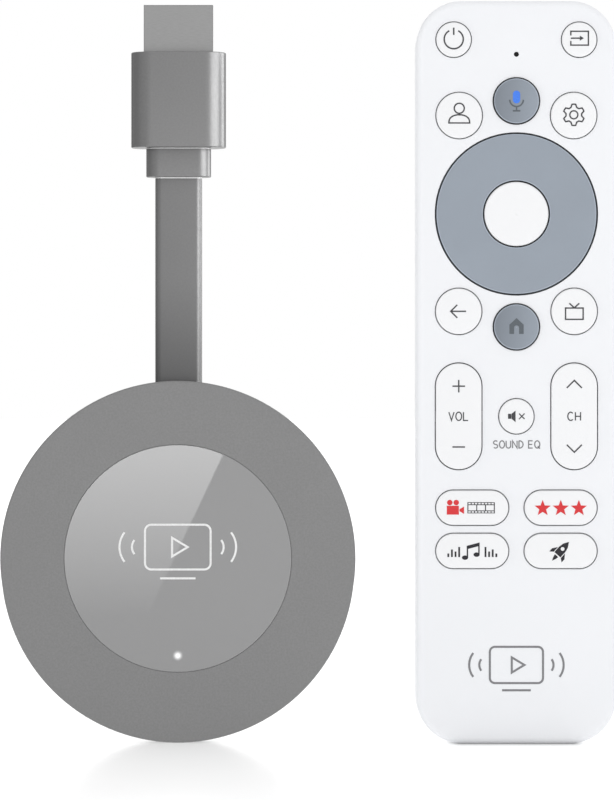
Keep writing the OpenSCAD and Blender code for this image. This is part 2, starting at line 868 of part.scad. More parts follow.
module pill_key(at) {
    r = pill.y / 2;
    end = concat([[0, flange_top - 0.3], [r, flange_top - 0.3]], key_crown(r));
    color(C_KEY) on_remote() translate([at.x, at.y, 0]) {
        hull() for (s = [-1, 1]) translate([s * (pill.x / 2 - r), 0, 0])
            rotate_extrude($fn = HULL_FN) polygon(end);
        translate([0, 0, stem_end + 0.3])
            slot_block(pill.x + 2 * flange_out, pill.y + 2 * flange_out, flange_top - stem_end - 0.3);
        translate([0, 0, stem_end]) cylinder(r = 1.5, h = 1);
    }
}

// Rocks about the middle of its length, on two ears under the face
module rocker_key(at) {
    r = rocker.x / 2;
    end = concat([[0, flange_top - 0.6], [r, flange_top - 0.6]], key_crown(r));
    color(C_KEY) on_remote() translate([at.x, at.y, 0]) {
        hull() for (s = [-1, 1]) translate([0, s * (rocker.y / 2 - r), 0])
            rotate_extrude($fn = HULL_FN) polygon(end);
        box_between([-r - 0.9, -1.1, flange_top - 0.6], [r + 0.9, 1.1, flange_top - 0.1]);
        for (s = [-1, 1]) translate([0, 7 * s, stem_end]) cylinder(r = 1.3, h = 1.5);
    }
}

module nav_ring() {
    edge = 0.35;
    inner = ok_r + key_gap;
    profile = concat(
        [[inner, nav_bottom], [nav_flange_r, nav_bottom - EPS]],
        [[nav_flange_r, nav_bottom + nav_flange_t], [nav_r, nav_bottom + nav_flange_t]],
        arc(nav_r - edge, nav_top - edge, edge, 0, 90, 5),
        arc(inner + edge, nav_top - edge, edge, 90, 180, 5)
    );
    color(C_SLATE) on_remote() translate([NAV_AT.x, NAV_AT.y, 0]) {
        rotate_extrude() polygon(profile);
        for (a = [0:90:270]) rotate(a) translate([nav_pad_ring, 0, stem_end])
            cylinder(r = 1.2, h = nav_bottom - stem_end + 0.2);
    }
}

// Soft collar of the keypad that the navigation ring rocks on
module nav_collar() {
    bottom = nav_bottom - collar_gap - nav_collar_t;
    color(C_MAT) on_remote() translate([NAV_AT.x, NAV_AT.y, bottom]) difference() {
        cylinder(r = collar_out, h = nav_collar_t);
        translate([0, 0, -1]) cylinder(r = collar_in, h = nav_collar_t + 2);
    }
}

module ok_key() {
    top = face + 0.3;
    edge = 0.4;
    profile = concat(
        [[0, stem_end + 0.2], [ok_r, stem_end + 0.2]],
        arc(ok_r - edge, top - edge, edge, 0, 85, 5),
        [for (t = [0.75, 0.5, 0.25, 0]) [ok_r * t, top + 0.1 * (1 - t * t)]]
    );
    color(C_KEY) on_remote() translate([NAV_AT.x, NAV_AT.y, 0]) {
        rotate_extrude() polygon(profile);
        translate([0, 0, stem_end]) cylinder(r = 1.5, h = 1);
    }
}

// ---------------------------------------------------------------- the pieces

hdmi_shell();
hdmi_insulator();
hdmi_contacts();
plug_board();
plug_shield();
plug_housing();
plug_collar();
flat_lead();
puck_front_shell();
puck_rear_shell();
puck_rear_plate();
front_window();
window_tape();
light_pipe();
status_led();
main_board();
shield_can();
processor_chips();
thermal_pad();
heat_spreader();
wifi_antennas();
lead_grommet();
lead_header();
usb_socket();
reset_button();
reset_switch();
puck_screws();
remote_top_shell();
remote_bottom_shell();
battery_door();
battery_left();
battery_right();
battery_springs();
battery_plates();
remote_board();
keypad_mat();
key_domes();
ir_window();
ir_emitter();
microphone();
radio_chip();
round_key(POWER_AT, small_key_r, C_KEY);  // power_key
round_key(INPUT_AT, small_key_r, C_KEY);  // input_key
round_key(ASSISTANT_AT, key_r, C_SLATE);  // assistant_key
round_key(PROFILE_AT, key_r, C_KEY);  // profile_key
round_key(SETTINGS_AT, key_r, C_KEY);  // settings_key
nav_collar();
nav_ring();
ok_key();
round_key(BACK_AT, key_r, C_KEY);  // back_key
round_key(HOME_AT, key_r, C_SLATE);  // home_key
round_key(GUIDE_AT, key_r, C_KEY);  // guide_key
rocker_key(VOLUME_AT);  // volume_rocker
rocker_key(CHANNEL_AT);  // channel_rocker
round_key(MUTE_AT, small_key_r, C_KEY);  // mute_key
pill_key(SHORTCUT_AT[0]);  // shortcut_key_1
pill_key(SHORTCUT_AT[1]);  // shortcut_key_2
pill_key(SHORTCUT_AT[2]);  // shortcut_key_3
pill_key(SHORTCUT_AT[3]);  // shortcut_key_4
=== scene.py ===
"""Looks for a streaming media player: a round player that hangs on a flat lead from its
HDMI plug, and the remote that stands beside it. Metres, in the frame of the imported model."""
import json
import math

import bmesh
import bpy
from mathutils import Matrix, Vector
from mathutils.bvhtree import BVHTree

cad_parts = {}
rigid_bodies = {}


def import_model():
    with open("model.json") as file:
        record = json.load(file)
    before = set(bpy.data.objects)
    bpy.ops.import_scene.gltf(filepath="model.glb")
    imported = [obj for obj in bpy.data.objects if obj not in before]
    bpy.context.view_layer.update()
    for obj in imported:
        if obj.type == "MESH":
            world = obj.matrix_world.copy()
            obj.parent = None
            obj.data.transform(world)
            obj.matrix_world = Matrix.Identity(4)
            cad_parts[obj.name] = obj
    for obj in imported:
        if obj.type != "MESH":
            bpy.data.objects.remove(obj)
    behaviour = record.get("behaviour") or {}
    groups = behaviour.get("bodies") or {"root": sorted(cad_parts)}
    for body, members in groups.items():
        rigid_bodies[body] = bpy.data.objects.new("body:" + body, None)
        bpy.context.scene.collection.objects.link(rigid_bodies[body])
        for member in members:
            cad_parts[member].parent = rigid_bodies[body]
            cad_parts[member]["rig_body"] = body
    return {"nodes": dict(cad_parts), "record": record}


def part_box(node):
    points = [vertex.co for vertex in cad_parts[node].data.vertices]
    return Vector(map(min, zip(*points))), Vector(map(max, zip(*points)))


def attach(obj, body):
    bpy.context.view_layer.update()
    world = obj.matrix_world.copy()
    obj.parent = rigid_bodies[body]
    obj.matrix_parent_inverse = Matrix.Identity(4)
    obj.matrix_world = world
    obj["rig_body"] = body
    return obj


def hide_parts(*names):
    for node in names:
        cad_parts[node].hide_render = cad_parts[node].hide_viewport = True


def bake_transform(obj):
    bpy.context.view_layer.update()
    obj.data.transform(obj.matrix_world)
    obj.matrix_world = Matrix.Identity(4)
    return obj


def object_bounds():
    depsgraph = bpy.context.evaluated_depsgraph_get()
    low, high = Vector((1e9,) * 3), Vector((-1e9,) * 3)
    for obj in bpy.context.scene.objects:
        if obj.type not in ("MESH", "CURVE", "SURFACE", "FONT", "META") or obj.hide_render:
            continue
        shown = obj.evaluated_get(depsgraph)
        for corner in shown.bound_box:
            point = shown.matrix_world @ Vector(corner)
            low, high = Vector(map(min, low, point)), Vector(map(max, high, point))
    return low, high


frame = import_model()
CAD_BOUNDS = [list(corner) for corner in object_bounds()]
NODES = frame["nodes"]
MM = 0.001


def middle(node):
    """The middle of a CAD node's box."""
    low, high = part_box(node)
    return (low + high) / 2


LOW, HIGH = (Vector(corner) for corner in CAD_BOUNDS)
CENTRE = (LOW + HIGH) / 2
PLAYER = middle("front_window")
REMOTE = middle("remote_top_shell")

# ------------------------------------------------------------------ camera, floor, light

VIEW_HEIGHT = 159.2 * MM     # what the picture takes in from top to bottom
VIEW_DROP = 5.55 * MM        # more room under the object than over it
VIEW_LEFT = 0.15 * MM
VIEW_DISTANCE = 900 * MM
SENSOR = 36
FLOOR_SIZE = 30
FLOOR_GAP = 0.06 * MM
FLOOR_GLOW = 0.39         # near the object
FLOOR_GLOW_FRONT = 0.53   # towards the camera
FLOOR_GLOW_REACH = 140 * MM
FLOOR_GLOSS = 0.35
FLOOR_ROUGH = 0.14
SIDE_CARD_X = -0.15       # both side cards stand on this line, in metres
SIDE_CARD_FOOT, SIDE_CARD_TOP = -0.13, 0.25
SIDE_CARD_NEAR, SIDE_CARD_JOIN, SIDE_CARD_FAR = -0.5, -0.04, 0.9
CARD_POWER = 5.6          # the window card, and where its image lies round the window's middle
CARD_AHEAD = 250 * MM
CARD_HALF = 26 * MM
CARD_LEFT = 40 * MM
CARD_EDGE_TOP = 11.5 * MM
CARD_EDGE_FOOT = 13 * MM
CARD_DARK = -11.4 * MM
CARD_BRIGHT = 24 * MM
CONTACT_INSET = 9 * MM    # the painted contact shadow on the floor under the front edge of the remote
CONTACT_REACH = 13 * MM
CONTACT_DEPTH = 1 * MM
CONTACT_SHADE = 1.0
CONTACT_TAPER = 3.0
STATUS_RADIUS = 1.4 * MM  # the status light: its halo, its core, how it falls off, its strength
STATUS_CORE = 0.15 * MM
STATUS_FALL = 2.2
STATUS_GLOW = 1.1
SHARP_FACE = math.radians(30)
SHARP_END = math.radians(40)


def make_camera():
    """A long lens straight in front, level with the middle of the object."""
    data = bpy.data.cameras.new("camera")
    data.sensor_width = SENSOR
    data.lens = SENSOR * VIEW_DISTANCE / VIEW_HEIGHT
    data.clip_start = 0.05
    camera = bpy.data.objects.new("camera", data)
    camera.location = (CENTRE.x - VIEW_LEFT, LOW.y - VIEW_DISTANCE, CENTRE.z - VIEW_DROP)
    camera.rotation_euler = (math.radians(90), 0, 0)
    bpy.context.scene.collection.objects.link(camera)
    bpy.context.scene.camera = camera


def area_light(name, place, target, width, height, power):
    """A rectangular lamp that faces its target."""
    data = bpy.data.lights.new(name, "AREA")
    data.shape = "RECTANGLE"
    data.size, data.size_y = width, height
    data.energy = power
    light = bpy.data.objects.new(name, data)
    light.location = place
    light.rotation_euler = (Vector(target) - Vector(place)).to_track_quat("-Z", "Y").to_euler()
    bpy.context.scene.collection.objects.link(light)
    return light


def light_only(lamp, bodies, extra=(), shadows=True):
    """Lets a lamp light only what rides on these bodies, as a masked studio exposure does."""
    lit = bpy.data.collections.new(lamp.name + "_lights")
    rows = frame["record"]["behaviour"]["bodies"]
    for body in bodies:
        for node in rows[body]:
            lit.objects.link(NODES[node])
    riders = [piece for piece in bpy.data.objects if piece.get("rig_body") in bodies]
    for piece in riders + list(extra):
        if piece.name not in lit.objects:
            lit.objects.link(piece)
    lamp.light_linking.receiver_collection = lit
    if not shadows:
        lamp.light_linking.blocker_collection = lit


def make_world():
    """An even white room."""
    world = bpy.data.worlds.new("studio")
    bpy.context.scene.world = world
    world.use_nodes = True
    background = world.node_tree.nodes["Background"]
    background.inputs["Color"].default_value = (1, 1, 1, 1)
    background.inputs["Strength"].default_value = 1.0
    view = bpy.context.scene.view_settings
    view.view_transform = "Standard"
    view.look = "None"


def link_mesh(name, vertices, faces, material, smooth=True):
    """A new piece from its points and faces."""
    mesh = bpy.data.meshes.new(name)
    mesh.from_pydata([tuple(v) for v in vertices], [], faces)
    mesh.validate()
    piece = bpy.data.objects.new(name, mesh)
    bpy.context.scene.collection.objects.link(piece)
    mesh.materials.append(material)
    if smooth:
        mesh.shade_smooth()
    return piece


def make_card(name, corners, material):
    """A flat sheet outside the picture that only lights and reflections see."""
    card = link_mesh(name, corners, [(0, 1, 2, 3)], material, smooth=False)
    card.visible_camera = False
    return card


def upright(x0, y0, x1, y1, z0, z1):
    """The corners of a vertical sheet that stands on the line from x0, y0 to x1, y1."""
    return [(x0, y0, z0), (x1, y1, z0), (x1, y1, z1), (x0, y0, z1)]


def make_window_card():
    """A sheet of light that only the window mirrors: its slanted edge is the line across the
    glass. It stands between the object and the camera, low enough to clear the floor."""
    camera = bpy.context.scene.camera.location
    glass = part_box("front_window")[0].y
    nearer = CARD_AHEAD / (glass - camera.y)
    top, foot = PLAYER.z + CARD_HALF, PLAYER.z - CARD_HALF

    def mirrored(x, z):
        return (x + (x - camera.x) * nearer, glass - CARD_AHEAD, z + (z - camera.z) * nearer)

    edge_top, edge_foot = PLAYER.x + CARD_EDGE_TOP, PLAYER.x - CARD_EDGE_FOOT
    far_left = PLAYER.x - CARD_LEFT
    outline = ((edge_top, top), (far_left, top), (far_left, foot), (edge_foot, foot))
    corners = [mirrored(x, z) for x, z in outline]
    dark, bright = (mirrored(0, PLAYER.z + rise)[2] for rise in (CARD_DARK, CARD_BRIGHT))
    card = make_card("card_window", corners, window_card_material(dark, bright))
    card.visible_diffuse = False
    card.visible_shadow = False
    lit = bpy.data.collections.new("card_window_lights")
    lit.objects.link(NODES["front_window"])
    card.light_linking.receiver_collection = lit


def make_side_cards():
    """Two sheets on the left, dimmer than the room, that keep the left sides darker."""
    for name, near, far, look, level in (
        ("card_left_front", SIDE_CARD_NEAR, SIDE_CARD_JOIN, "card_grey", 0.76),
        ("card_left_back", SIDE_CARD_JOIN, SIDE_CARD_FAR, "card_dark", 0.5),
    ):
        corners = upright(SIDE_CARD_X, near, SIDE_CARD_X, far, SIDE_CARD_FOOT, SIDE_CARD_TOP)
        make_card(name, corners, card_material(look, level))


def make_lamps():
    """The lamps: place, target, width and height in metres, and power in watts."""
    lamps = {
        "strip_right": ((0.423, -0.075, -0.06), (0, 0, -0.06), 0.9, 0.5, 6.2),
        "fill_remote_left": ((-0.25, -0.06, -0.06), tuple(REMOTE), 0.3, 0.5, 0.8),
        "fill_player": ((0.15, -0.4, -0.25), tuple(PLAYER), 0.3, 0.3, 0.9),
        "fill_remote_right": ((0.36, -0.3, -0.06), tuple(REMOTE), 0.3, 0.5, 0.2),
    }
    return [area_light(name, *settings) for name, settings in lamps.items()]


def make_stage():
    """The floor, a little below the lowest point of the object."""
    size = FLOOR_SIZE / 2
    level = LOW.z - FLOOR_GAP
    corners = [(x * size, y * size, level) for x, y in ((-1, -1), (1, -1), (1, 1), (-1, 1))]
    floor = link_mesh("floor", corners, [(0, 1, 2, 3)], floor_material(), smooth=False)


# ------------------------------------------------------------------ materials

class Shader:
    """A material with a Principled shader, and short calls to add nodes to it."""

    def __init__(self, name):
        self.material = bpy.data.materials.new(name)
        self.material.use_nodes = True
        self.tree = self.material.node_tree
        self.principled = self.tree.nodes["Principled BSDF"]
        self.place = self.add("ShaderNodeTexCoord").outputs["Object"]

    def add(self, kind, **settings):
        node = self.tree.nodes.new(kind)
        for key, value in settings.items():
            setattr(node, key, value)
        return node

    def feed(self, socket, value):
        if isinstance(value, bpy.types.NodeSocket):
            self.tree.links.new(value, socket)
        elif value is not None:
            socket.default_value = value

    def set(self, **sockets):
        """Sets sockets of the Principled shader: base_color is "Base Color", and so on."""
        for key, value in sockets.items():
            names = {n.lower().replace(" ", "_"): n for n in self.principled.inputs.keys()}
            self.feed(self.principled.inputs[names[key]], value)

    def noise(self, scale, detail, stretch=(1, 1, 1)):
        mapping = self.add("ShaderNodeMapping")
        mapping.inputs["Scale"].default_value = stretch
        self.feed(mapping.inputs["Vector"], self.place)
        noise = self.add("ShaderNodeTexNoise")
        self.feed(noise.inputs["Vector"], mapping.outputs["Vector"])
        self.feed(noise.inputs["Scale"], scale)
        self.feed(noise.inputs["Detail"], detail)
        return noise.outputs["Fac"]

    def range(self, value, low, high, to_low, to_high, smooth=False):
        node = self.add("ShaderNodeMapRange")
        node.interpolation_type = "SMOOTHSTEP" if smooth else "LINEAR"
        for key, number in (("From Min", low), ("From Max", high), ("To Min", to_low), ("To Max", to_high)):
            node.inputs[key].default_value = number
        self.feed(node.inputs["Value"], value)
        return node.outputs["Result"]

    def math(self, operation, a, b=None):
        node = self.add("ShaderNodeMath", operation=operation)
        self.feed(node.inputs[0], a)
        self.feed(node.inputs[1], b)
        return node.outputs[0]

    def outside(self, value, middle_at, reach):
        """How far a value lies outside a stretch, or 0 within it."""
        off = self.math("ABSOLUTE", self.math("SUBTRACT", value, middle_at))
        return self.math("MAXIMUM", self.math("SUBTRACT", off, reach), 0)

    def mix(self, factor, a, b):
        node = self.add("ShaderNodeMix", data_type="RGBA")
        self.feed(node.inputs["Factor"], factor)
        self.feed(node.inputs["A"], a)
        self.feed(node.inputs["B"], b)
        return node.outputs["Result"]

    def edges(self, radius):
        """1 along edges sharper than the radius, 0 on open faces."""
        bevel = self.add("ShaderNodeBevel", samples=6)
        bevel.inputs["Radius"].default_value = radius
        geometry = self.add("ShaderNodeNewGeometry")
        dot = self.add("ShaderNodeVectorMath", operation="DOT_PRODUCT")
        self.feed(dot.inputs[0], bevel.outputs["Normal"])
        self.feed(dot.inputs[1], geometry.outputs["Normal"])
        return self.range(dot.outputs["Value"], 0.92, 0.6, 0.0, 1.0)

    def round_bump(self, height, distance, strength=1.0, radius=None):
        """A bump from a height, over edges rounded by the radius."""
        bump = self.add("ShaderNodeBump")
        bump.inputs["Distance"].default_value = distance
        bump.inputs["Strength"].default_value = strength
        self.feed(bump.inputs["Height"], height)
        if radius:
            bevel = self.add("ShaderNodeBevel", samples=6)
            bevel.inputs["Radius"].default_value = radius
            self.feed(bump.inputs["Normal"], bevel.outputs["Normal"])
        self.set(normal=bump.outputs["Normal"])


def rgba(colour, factor=1.0):
    """A colour for a socket, made lighter or darker by the factor."""
    return (*(min(1.0, c * factor) for c in colour), 1)


def moulded(name, colour, rough, grain=0.012, mottle=0.03, edge_wear_and_shade=0.1, specular=0.4,
            grain_size=0.22, speckle=None, edge_wear_and_shade_tone=1.5, edge=0.25):
    """Moulded plastic: spark-eroded grain, a faint flow mottle, and edges tinted by an edge tone:
    above 1 the edges are lighter with wear, below 1 they are darker as a painted shade.
    """
    s = Shader(name)
    fine = s.noise(1 / (grain_size * MM), 3)
    broad = s.noise(60, 3)
    speckle = mottle if speckle is None else speckle
    base = s.mix(s.range(broad, 0.3, 0.7, 0, 1), rgba(colour, 1 - mottle), rgba(colour, 1 + mottle))
    base = s.mix(s.range(fine, 0.35, 0.65, 0, 0.5), base, rgba(colour, 1 - 2 * speckle))
    # edge tint: lighter is wear, darker is a painted shade along the edges
    base = s.mix(s.math("MULTIPLY", s.edges(edge * MM), edge_wear_and_shade), base, rgba(colour, edge_wear_and_shade_tone))
    s.set(base_color=base, specular_ior_level=specular)
    grain_rough = s.range(fine, 0.3, 0.7, -0.04, 0.04)
    broad_rough = s.range(broad, 0.3, 0.7, rough - 0.03, rough + 0.03)
    s.set(roughness=s.math("ADD", grain_rough, broad_rough))
    s.round_bump(fine, grain * MM, 1.0, 0.12 * MM)
    return s.material


def painted_key(name, colour, rough, left_shade_reach=None):
    """A slate key whose sides are painted near-black, a painted shade for the gap round it, with a
    painted highlight as a light line round the edge of its face. A key given a half-width in its
    last argument is darker on its left over that width, a painted shade."""
    s = Shader(name)
    fine = s.noise(4500, 3)
    broad = s.noise(70, 3)
    separate = s.add("ShaderNodeSeparateXYZ")
    s.feed(separate.inputs[0], s.add("ShaderNodeTexCoord").outputs["Normal"])
    # the sides are painted near-black: painted shade for the gap round the key
    unshaded_face = s.range(separate.outputs["Y"], -0.55, -0.8, 0.0, 1.0)
    # a painted highlight as a light line round the edge of the face
    painted_rim_highlight = s.range(separate.outputs["Y"], -0.985, -0.9, 0.0, 0.5)
    base = s.mix(s.range(broad, 0.3, 0.7, 0, 1), rgba(colour, 0.97), rgba(colour, 1.03))
    if left_shade_reach:
        spot = s.add("ShaderNodeSeparateXYZ")
        s.feed(spot.inputs[0], s.place)
        # painted shade: darker towards the left across the remote's middle
        left = s.range(spot.outputs["X"], REMOTE.x - left_shade_reach, REMOTE.x + left_shade_reach, 0.5, 0.0)
        base = s.mix(left, base, rgba(colour, 0.3))
    base = s.mix(painted_rim_highlight, base, rgba(colour, 1.9))
    base = s.mix(unshaded_face, (0.012, 0.012, 0.014, 1), base)
    s.set(base_color=base, specular_ior_level=0.4)
    s.set(roughness=s.range(fine, 0.3, 0.7, rough - 0.04, rough + 0.04))
    s.round_bump(fine, 0.005 * MM)
    return s.material


def painted_highlight_line(s, height, top, base):
    """A painted highlight: a bright line where a piece comes out of the sleeve above it."""
    above = s.range(height, top - 0.26 * MM, top - 0.2 * MM, 0, 1)
    below = s.range(height, top - 0.04 * MM, top - 0.01 * MM, 1, 0)
    line = s.math("MULTIPLY", above, below)
    return s.mix(line, base, (0.85, 0.85, 0.85, 1)), line


def satin(name, colour, rough, sheen, top, shaded_from=None):
    """Silver-grey lacquer over plastic: partly metallic, with a fine even grain, a painted shade
    darkening each side and a painted highlight as a bright line below the sleeve above. Given a
    height in its last argument, it is darker towards that height, a painted shade."""
    s = Shader(name)
    fine = s.noise(2600, 3)
    broad = s.noise(60, 3)
    separate = s.add("ShaderNodeSeparateXYZ")
    s.feed(separate.inputs[0], s.place)
    height = separate.outputs["Z"]
    base = s.mix(s.range(broad, 0.3, 0.7, 0, 1), rgba(colour, 0.98), rgba(colour, 1.02))
    base = s.mix(s.range(fine, 0.35, 0.65, 0, 0.5), base, rgba(colour, 0.88))
    if shaded_from:
        # painted shade: darker over the 24 mm above the given height
        painted_shade = s.range(height, shaded_from, shaded_from + 24 * MM, 0.55, 0.0, smooth=True)
        base = s.mix(painted_shade, base, rgba((0.06, 0.06, 0.061)))
    turn = s.add("ShaderNodeSeparateXYZ")
    s.feed(turn.inputs[0], s.add("ShaderNodeTexCoord").outputs["Normal"])
    # painted shade: faces turned to either side go near-black
    side = s.range(s.math("ABSOLUTE", turn.outputs["X"]), 0.9, 0.985, 0.0, 0.85)
    base = s.mix(side, base, (0.015, 0.015, 0.015, 1))
    # a painted highlight line just below the sleeve above
    base, line = painted_highlight_line(s, height, top, base)
    s.set(base_color=base, metallic=s.range(line, 0, 1, sheen, 0), specular_ior_level=0.3)
    s.set(roughness=s.range(fine, 0.3, 0.7, rough - 0.04, rough + 0.04))
    s.round_bump(fine, 0.006 * MM, 0.6)
    return s.material


def soft(name, colour, rough):
    """Rubber or soft elastomer: dull, finely pebbled, with a little dust in it."""
    s = Shader(name)
    fine = s.noise(3600, 4)
    dust = s.noise(420, 5)
    base = s.mix(s.range(dust, 0.5, 0.75, 0, 0.25), rgba(colour), rgba(colour, 1.35))
    s.set(base_color=base, roughness=s.range(fine, 0.3, 0.7, rough - 0.05, rough + 0.05))
    s.set(sheen_weight=0.08, sheen_roughness=0.5, specular_ior_level=0.35)
    s.round_bump(fine, 0.02 * MM, 1.0, 0.1 * MM)
    return s.material


def metal(name, colour, rough, brush=(1, 1, 30), edge_wear_and_shade=0.3, edge_wear_and_shade_tone=1.4, edge=0.15):
    """Rolled or plated sheet metal, with brushing along one axis and edges tinted by an edge tone:
    above 1 the edges are lighter with wear, below 1 they are darker as a painted shade.
    """
    s = Shader(name)
    lines = s.noise(900, 4, brush)
    broad = s.noise(140, 3)
    base = s.mix(s.range(lines, 0.3, 0.7, 0, 1), rgba(colour, 0.92), rgba(colour, 1.05))
    # edge tint: lighter is wear, darker is a painted shade along the edges
    base = s.mix(s.math("MULTIPLY", s.edges(edge * MM), edge_wear_and_shade), base, rgba(colour, edge_wear_and_shade_tone))
    s.set(base_color=base, metallic=1.0)
    line_rough = s.range(lines, 0.3, 0.7, -0.05, 0.05)
    broad_rough = s.range(broad, 0.3, 0.7, rough - 0.04, rough + 0.04)
    s.set(roughness=s.math("ADD", line_rough, broad_rough))
    s.round_bump(lines, 0.004 * MM, 0.6, 0.08 * MM)
    return s.material


def board_material():
    """Solder mask with copper tracks showing through it as darker lines."""
    s = Shader("board_lacquer")
    tracks = s.add("ShaderNodeTexBrick", offset=0.5)
    s.feed(tracks.inputs["Vector"], s.place)
    s.feed(tracks.inputs["Scale"], 260)
    s.feed(tracks.inputs["Mortar Size"], 0.03)
    fine = s.noise(1500, 3)
    base = s.mix(tracks.outputs["Fac"], (0.02, 0.11, 0.055, 1), (0.035, 0.17, 0.08, 1))
    base = s.mix(s.range(fine, 0.4, 0.6, 0, 0.3), base, (0.015, 0.08, 0.04, 1))
    s.set(base_color=base, roughness=s.range(fine, 0.3, 0.7, 0.3, 0.4), coat_weight=0.3, coat_roughness=0.2)
    s.round_bump(tracks.outputs["Fac"], 0.02 * MM, 0.6)
    return s.material


def window_material():
    """A smooth grey window with fine specks, faint smears and lighter edges."""
    s = Shader("window_gloss")
    smear = s.noise(90, 5, (1, 1, 0.35))
    speck = s.noise(5200, 2)
    base = s.mix(s.range(speck, 0.3, 0.7, 0, 0.35), rgba((0.268, 0.268, 0.27)), rgba((0.283, 0.283, 0.285)))
    base = s.mix(s.math("MULTIPLY", s.edges(0.3 * MM), 0.8), base, rgba((0.55, 0.55, 0.55)))
    s.set(base_color=base, roughness=s.range(smear, 0.35, 0.7, 0.012, 0.02))
    s.set(specular_ior_level=0.5)
    s.round_bump(smear, 0.0002 * MM, 0.2, 0.05 * MM)
    return s.material


def glow_material(name, colour, strength, radius, core, centre):
    """Light that fades out from a centre in the plane of the front."""
    s = Shader(name)
    offset = s.add("ShaderNodeVectorMath", operation="SUBTRACT")
    s.feed(offset.inputs[0], s.place)
    offset.inputs[1].default_value = centre
    length = s.add("ShaderNodeVectorMath", operation="LENGTH")
    s.feed(length.inputs[0], offset.outputs["Vector"])
    halo = s.range(length.outputs["Value"], core, radius, 1.0, 0.0, smooth=True)
    halo = s.math("POWER", halo, STATUS_FALL)
    s.set(base_color=rgba(colour, 0.05), emission_color=rgba(colour), emission_strength=strength)
    s.set(alpha=halo, roughness=0.5, specular_ior_level=0.0)
    return s.material


def ink_material(name, colour):
    """Pad-printed ink: slightly uneven cover and a low edge."""
    s = Shader(name)
    cover = s.noise(3000, 3)
    base = s.mix(s.range(cover, 0.35, 0.65, 0, 1), rgba(colour, 0.94), rgba(colour, 1.06))
    s.set(base_color=base, roughness=s.range(cover, 0.3, 0.7, 0.4, 0.5))
    s.set(specular_ior_level=0.3)
    s.round_bump(cover, 0.004 * MM, 0.5)
    return s.material


def clear_material():
    """A clear moulding with faint flow lines."""
    s = Shader("clear_moulding")
    flow = s.noise(300, 3)
    s.set(base_color=(0.95, 0.97, 1, 1), roughness=s.range(flow, 0.3, 0.7, 0.05, 0.12))
    s.set(transmission_weight=0.85, ior=1.49)
    return s.material


def cell_material():
    """Printed battery wrap: a dark body, a bright collar at the button end, fine foil lines."""
    s = Shader("battery_wrap")
    foil = s.noise(500, 4, (1, 1, 0.02))
    low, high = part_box("battery_left")
    separate = s.add("ShaderNodeSeparateXYZ")
    s.feed(separate.inputs[0], s.place)
    up = s.range(separate.outputs["Z"], low.z, high.z, 0, 1)
    band = s.math("GREATER_THAN", up, 0.74)
    cap = s.math("GREATER_THAN", up, 0.965)
    base = s.mix(band, (0.03, 0.12, 0.075, 1), (0.72, 0.5, 0.12, 1))
    base = s.mix(cap, base, (0.62, 0.62, 0.63, 1))
    base = s.mix(s.range(foil, 0.4, 0.6, 0, 0.35), base, (0.02, 0.05, 0.035, 1))
    s.set(base_color=base, metallic=0.35, roughness=s.range(foil, 0.3, 0.7, 0.22, 0.32))
    s.round_bump(foil, 0.003 * MM, 0.5, 0.2 * MM)
    return s.material


def floor_material():
    """A white table with a soft gloss that glows, more towards the camera. Under the front edge
    of the remote it has a painted contact shadow, which stays there when the remote is lifted."""
    s = Shader("floor_white")
    haze = s.noise(6, 3)
    separate = s.add("ShaderNodeSeparateXYZ")
    s.feed(separate.inputs[0], s.place)
    low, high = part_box("remote_bottom_shell")
    aside = s.outside(separate.outputs["X"], (low.x + high.x) / 2, (high.x - low.x) / 2 - CONTACT_INSET)
    ahead = s.outside(separate.outputs["Y"], low.y, CONTACT_DEPTH)
    aside = s.math("MULTIPLY", aside, CONTACT_TAPER)
    away = s.math("SQRT", s.math("ADD", s.math("MULTIPLY", aside, aside), s.math("MULTIPLY", ahead, ahead)))
    # painted contact shadow: the floor's colour and glow go dark near the remote's front edge
    contact_shadow = s.range(away, 0, CONTACT_REACH, CONTACT_SHADE, 0)
    contact_shadow = s.math("POWER", contact_shadow, 2)
    base = s.mix(haze, (0.84, 0.84, 0.84, 1), (0.87, 0.87, 0.87, 1))
    s.set(base_color=s.mix(contact_shadow, base, (0.05, 0.05, 0.05, 1)))
    s.set(roughness=s.range(haze, 0.3, 0.7, FLOOR_ROUGH - 0.01, FLOOR_ROUGH + 0.01))
    s.set(specular_ior_level=FLOOR_GLOSS, emission_color=s.mix(contact_shadow, (1, 1, 1, 1), (0, 0, 0, 1)))
    front = LOW.y - FLOOR_GLOW_REACH
    s.set(emission_strength=s.range(separate.outputs["Y"], LOW.y, front, FLOOR_GLOW, FLOOR_GLOW_FRONT))
    return s.material


def window_card_material(dark, bright):
    """A clear sheet that glows, brightest at its top and dying away at its foot."""
    s = Shader("card_fade")
    separate = s.add("ShaderNodeSeparateXYZ")
    s.feed(separate.inputs[0], s.place)
    glow = s.add("ShaderNodeEmission")
    s.feed(glow.inputs["Strength"], s.range(separate.outputs["Z"], dark, bright, 0.0, CARD_POWER))
    both = s.add("ShaderNodeAddShader")
    s.feed(both.inputs[0], s.add("ShaderNodeBsdfTransparent").outputs[0])
    s.feed(both.inputs[1], glow.outputs[0])
    s.tree.links.new(both.outputs[0], s.tree.nodes["Material Output"].inputs["Surface"])
    s.tree.nodes.remove(s.principled)
    return s.material


def card_material(name, level):
    """A sheet that glows evenly, at the level that its reflections should have."""
    s = Shader(name)
    s.set(base_color=(0.01, 0.01, 0.01, 1), roughness=0.9, specular_ior_level=0.0)
    s.set(emission_color=(1, 1, 1, 1), emission_strength=level)
    return s.material


